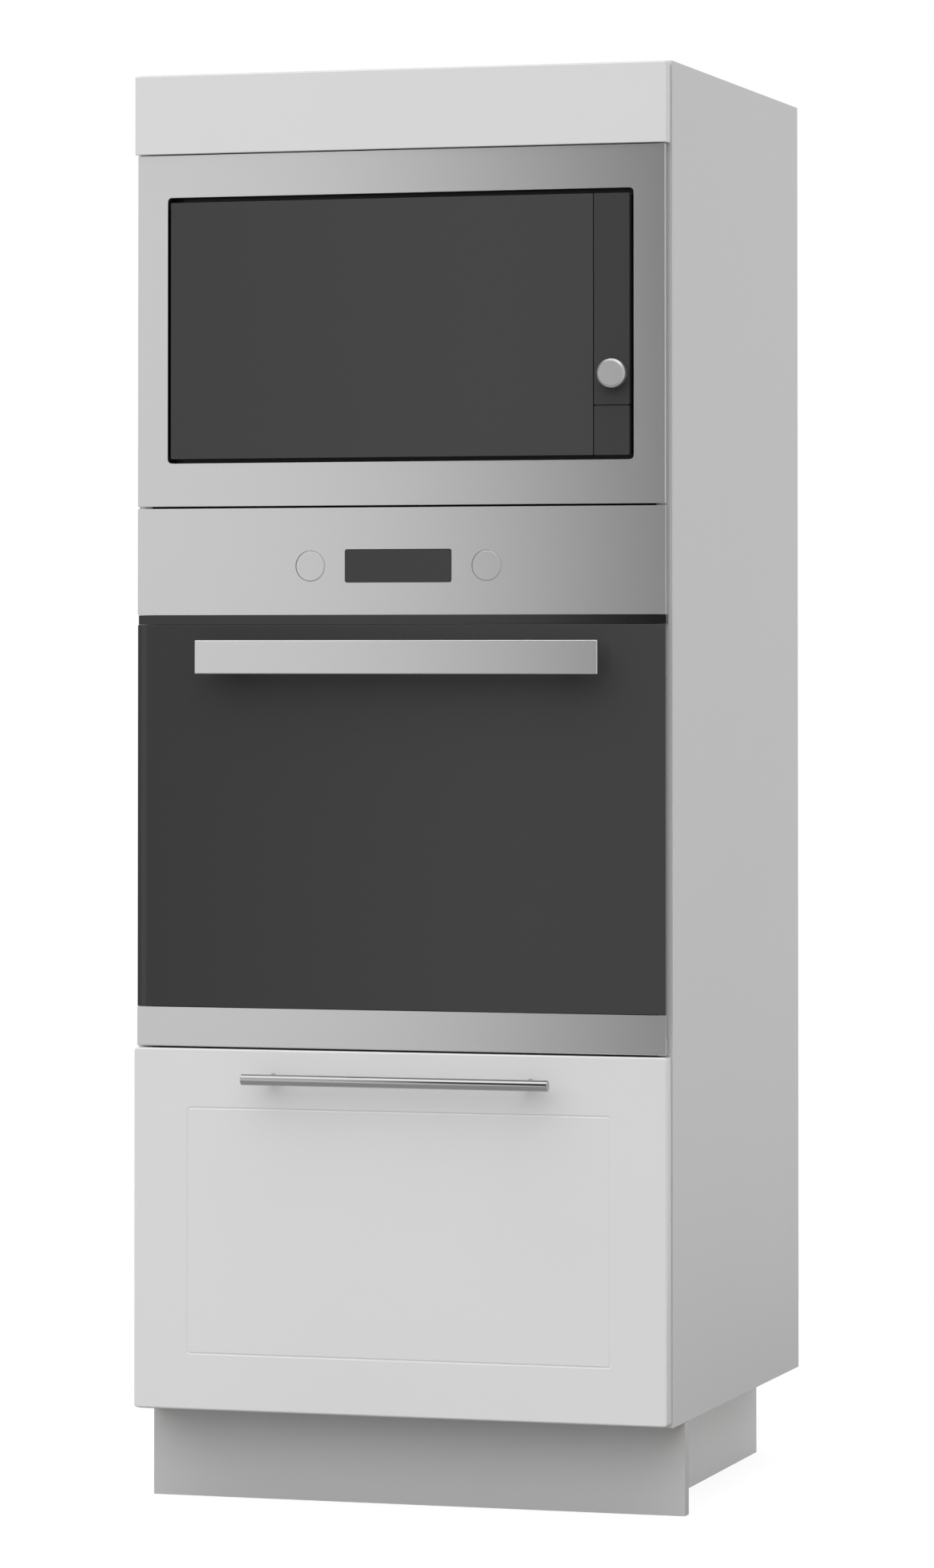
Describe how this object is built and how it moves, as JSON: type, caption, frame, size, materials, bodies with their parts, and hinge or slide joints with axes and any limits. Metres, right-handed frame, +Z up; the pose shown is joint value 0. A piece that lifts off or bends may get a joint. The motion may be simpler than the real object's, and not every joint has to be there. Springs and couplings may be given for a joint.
{
  "type": "tall oven housing unit",
  "caption": "Tall kitchen cabinet on a plinth that holds a built-in microwave over a built-in oven over a deep drawer on telescopic runners.",
  "frame": {"origin": "on the floor, under the centre of the part's bounding box", "axes": "+X to the right, +Y from the fronts to the back, +Z up"},
  "size_m": [0.6, 0.627, 1.55],
  "materials": {
    "carcass": "matt light grey melamine on particle board",
    "front": "satin pale grey lacquer on fibreboard, routed groove",
    "hardboard": "thin painted hardboard",
    "plinth": "matt grey melamine",
    "steel": "brushed stainless steel",
    "chrome": "polished chrome plating",
    "zinc": "zinc-plated sheet steel",
    "dark_glass": "toughened glass, printed black behind",
    "black_enamel": "gloss black enamel",
    "oven_enamel": "speckled dark grey vitreous enamel",
    "microwave_enamel": "black powder coat",
    "black_plastic": "moulded black plastic",
    "clear_glass": "pressed clear glass"
  },
  "bodies": {
    "cabinet": {"side_panel_left": "carcass", "side_panel_right": "carcass", "bottom_panel": "carcass", "oven_shelf": "carcass", "microwave_shelf": "carcass", "upper_shelf": "carcass", "top_panel": "carcass", "drawer_back_panel": "hardboard", "upper_back_panel": "hardboard", "fascia_panel": "front", "plinth_front": "plinth", "plinth_side_left": "plinth", "plinth_side_right": "plinth", "levelling_leg_front_left": "black_plastic", "levelling_leg_front_right": "black_plastic", "levelling_leg_back_left": "black_plastic", "levelling_leg_back_right": "black_plastic", "runner_cabinet_left": "zinc", "runner_cabinet_right": "zinc", "oven_casing": "zinc", "oven_cavity": "oven_enamel", "oven_vent_grille": "black_enamel", "oven_control_panel": "steel", "oven_display": "dark_glass", "oven_fan_cover": "oven_enamel", "oven_wire_shelf": "chrome", "oven_hinge_arm_left": "zinc", "oven_hinge_arm_right": "zinc", "microwave_trim_frame": "steel", "microwave_cavity": "microwave_enamel", "microwave_casing": "zinc", "microwave_control_column": "dark_glass"},
    "drawer": {"drawer_front": "front", "drawer_handle_bar": "chrome", "drawer_handle_post_left": "chrome", "drawer_handle_post_right": "chrome", "drawer_side_left": "carcass", "drawer_side_right": "carcass", "drawer_bottom": "carcass", "drawer_back": "carcass", "runner_drawer_left": "zinc", "runner_drawer_right": "zinc"},
    "left_runner_middle": {"runner_middle_left": "zinc"},
    "right_runner_middle": {"runner_middle_right": "zinc"},
    "oven_door": {"oven_door_glass": "dark_glass", "oven_door_strip": "steel", "oven_door_frame": "black_enamel", "oven_door_inner_glass": "dark_glass", "oven_door_handle": "steel"},
    "left_knob_shaft": {"oven_knob_shaft_left": "zinc"},
    "left_knob_cap": {"oven_knob_cap_left": "steel"},
    "right_knob_shaft": {"oven_knob_shaft_right": "zinc"},
    "right_knob_cap": {"oven_knob_cap_right": "steel"},
    "fan": {"oven_fan": "zinc"},
    "microwave_door": {"microwave_door_glass": "dark_glass", "microwave_door_frame": "black_plastic"},
    "release_button": {"microwave_release_button": "dark_glass"},
    "timer_knob": {"microwave_knob": "steel"},
    "turntable": {"microwave_turntable": "clear_glass", "microwave_turntable_hub": "black_plastic"}
  },
  "joints": [
    {"name": "drawer_slide", "type": "slide", "parent": "cabinet", "child": "drawer", "axis": [0, -1, 0], "range_m": [0, 0.48]},
    {"name": "left_runner_slide", "type": "slide", "parent": "cabinet", "child": "left_runner_middle", "axis": [0, -1, 0], "range_m": [0, 0.24]},
    {"name": "right_runner_slide", "type": "slide", "parent": "cabinet", "child": "right_runner_middle", "axis": [0, -1, 0], "range_m": [0, 0.24]},
    {"name": "oven_door_hinge", "type": "hinge", "parent": "cabinet", "child": "oven_door", "pos_m": [0, -0.2665, 0.502], "axis": [1, 0, 0], "range_deg": [0, 90]},
    {"name": "left_knob_pop", "type": "slide", "parent": "cabinet", "child": "left_knob_shaft", "axis": [0, -1, 0], "range_m": [0, 0.02]},
    {"name": "left_knob_turn", "type": "hinge", "parent": "left_knob_shaft", "child": "left_knob_cap", "pos_m": [-0.099, -0.2725, 1.0139], "axis": [0, 1, 0], "continuous": true},
    {"name": "right_knob_pop", "type": "slide", "parent": "cabinet", "child": "right_knob_shaft", "axis": [0, -1, 0], "range_m": [0, 0.02]},
    {"name": "right_knob_turn", "type": "hinge", "parent": "right_knob_shaft", "child": "right_knob_cap", "pos_m": [0.099, -0.2725, 1.0139], "axis": [0, 1, 0], "continuous": true},
    {"name": "fan_spin", "type": "hinge", "parent": "cabinet", "child": "fan", "pos_m": [0, 0.17, 0.7344], "axis": [0, 1, 0], "continuous": true},
    {"name": "microwave_door_hinge", "type": "hinge", "parent": "cabinet", "child": "microwave_door", "pos_m": [-0.25, -0.267, 1.269], "axis": [0, 0, -1], "range_deg": [0, 92]},
    {"name": "release_button_press", "type": "slide", "parent": "cabinet", "child": "release_button", "axis": [0, 1, 0], "range_m": [0, 0.003], "stiffness_N_per_m": 600, "springref_m": -0.001},
    {"name": "timer_knob_turn", "type": "hinge", "parent": "cabinet", "child": "timer_knob", "pos_m": [0.24025, -0.2775, 1.217], "axis": [0, 1, 0], "continuous": true},
    {"name": "turntable_spin", "type": "hinge", "parent": "cabinet", "child": "turntable", "pos_m": [-0.01995, -0.0825, 1.165], "axis": [0, 0, 1], "continuous": true}
  ],
  "couplings": [
    {"joint": "left_runner_slide", "follows": "drawer_slide", "ratio": 0.5},
    {"joint": "right_runner_slide", "follows": "drawer_slide", "ratio": 0.5}
  ]
}
